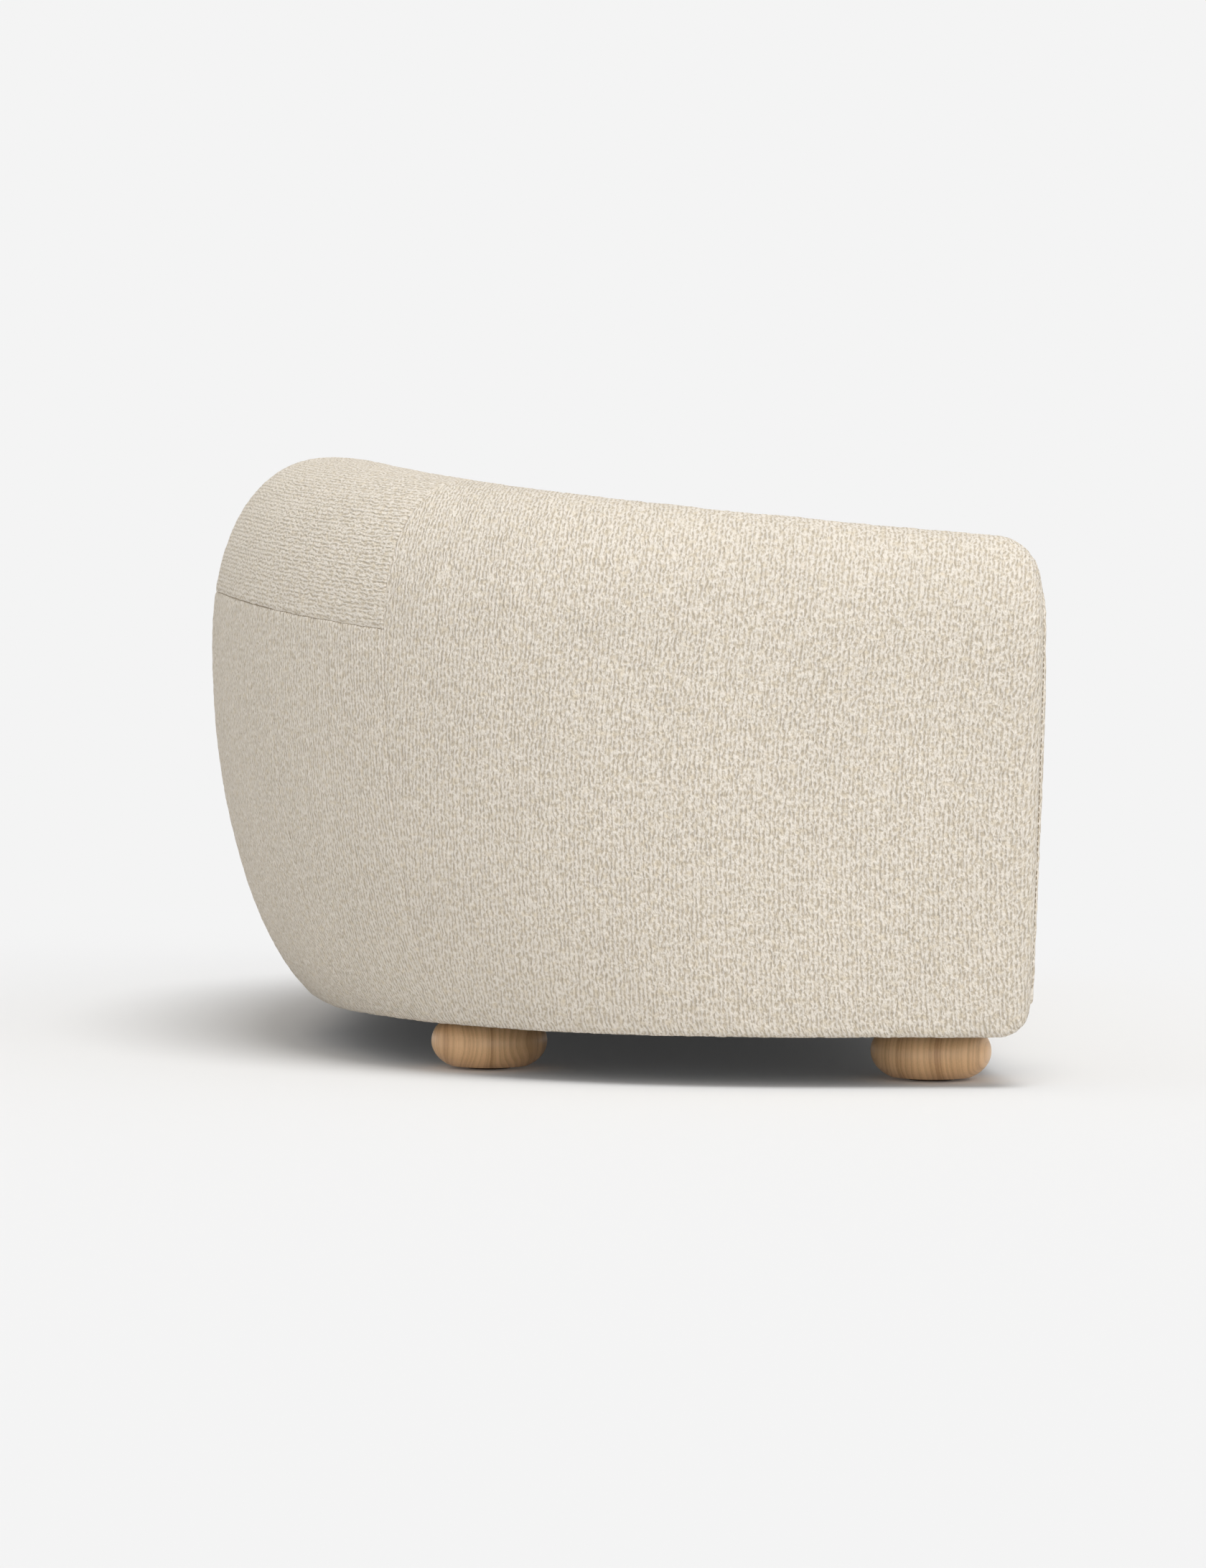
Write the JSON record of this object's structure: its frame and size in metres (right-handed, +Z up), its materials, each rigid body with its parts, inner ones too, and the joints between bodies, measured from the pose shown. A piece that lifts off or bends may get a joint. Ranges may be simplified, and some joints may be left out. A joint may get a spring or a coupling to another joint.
{
  "type": "sofa",
  "caption": "Curved fabric sofa with low arms that sweep up into a rounded back, loose seat cushions and turned wooden bun feet.",
  "frame": {"origin": "on the floor, under the middle of the box round the sofa", "axes": "+Z up, -Y the way the sofa faces, +X to the right as seen from in front"},
  "size_m": [2.2412, 1.0864, 0.814],
  "materials": {
    "boucle": "looped boucle weave, matt",
    "lining": "plain woven cloth, matt",
    "dust_cloth": "non-woven cloth, matt",
    "turned_wood": "satin lacquer over open grain",
    "plywood": "raw birch plywood",
    "softwood": "planed, raw",
    "foam": "open-cell foam",
    "webbing": "woven elastic webbing",
    "steel": "zinc plated",
    "felt": "pressed felt",
    "zip": "woven tape with nylon teeth"
  },
  "bodies": {
    "sofa": {"arm_facing_left": "boucle", "arm_facing_right": "boucle", "arm_foam_left": "foam", "arm_foam_right": "foam", "arm_panel_left": "plywood", "arm_panel_right": "plywood", "arm_post_left": "plywood", "arm_post_right": "plywood", "arm_top_rail_left": "softwood", "arm_top_rail_right": "softwood", "back_foam": "foam", "back_rib_center": "plywood", "back_rib_left": "plywood", "back_rib_right": "plywood", "back_top_band_cover": "boucle", "back_top_rail": "softwood", "base_plate_back": "plywood", "base_plate_front": "plywood", "base_plate_left": "plywood", "base_plate_right": "plywood", "center_leg": "turned_wood", "corner_rib_left": "plywood", "corner_rib_right": "plywood", "deck_cloth": "lining", "deck_pad": "foam", "dust_cover": "dust_cloth", "foot_back_left": "turned_wood", "foot_back_right": "turned_wood", "foot_front_left": "turned_wood", "foot_front_right": "turned_wood", "front_apron_cover": "boucle", "glide_back_left": "felt", "glide_back_right": "felt", "glide_center": "felt", "glide_front_left": "felt", "glide_front_right": "felt", "hanger_bolt_back_left": "steel", "hanger_bolt_back_right": "steel", "hanger_bolt_front_left": "steel", "hanger_bolt_front_right": "steel", "inside_arm_cover_left": "boucle", "inside_arm_cover_right": "boucle", "inside_back_cover": "boucle", "outside_arm_cover_left": "boucle", "outside_arm_cover_right": "boucle", "outside_back_cover_center": "boucle", "outside_back_cover_left": "boucle", "outside_back_cover_right": "boucle", "seat_rail_back": "softwood", "seat_rail_front": "softwood", "seat_rail_left": "softwood", "seat_rail_middle": "softwood", "seat_rail_right": "softwood", "seat_webbing": "webbing"},
    "seat_cushion_left": {"cushion_cover_left": "boucle", "cushion_foam_left": "foam", "cushion_zip_left": "zip"},
    "seat_cushion_right": {"cushion_cover_right": "boucle", "cushion_foam_right": "foam", "cushion_zip_right": "zip"}
  },
  "joints": [
    {"name": "lift_seat_cushion_left", "type": "slide", "parent": "sofa", "child": "seat_cushion_left", "axis": [0, 0, 1], "range_m": [0, 0.35]},
    {"name": "lift_seat_cushion_right", "type": "slide", "parent": "sofa", "child": "seat_cushion_right", "axis": [0, 0, 1], "range_m": [0, 0.35]}
  ]
}
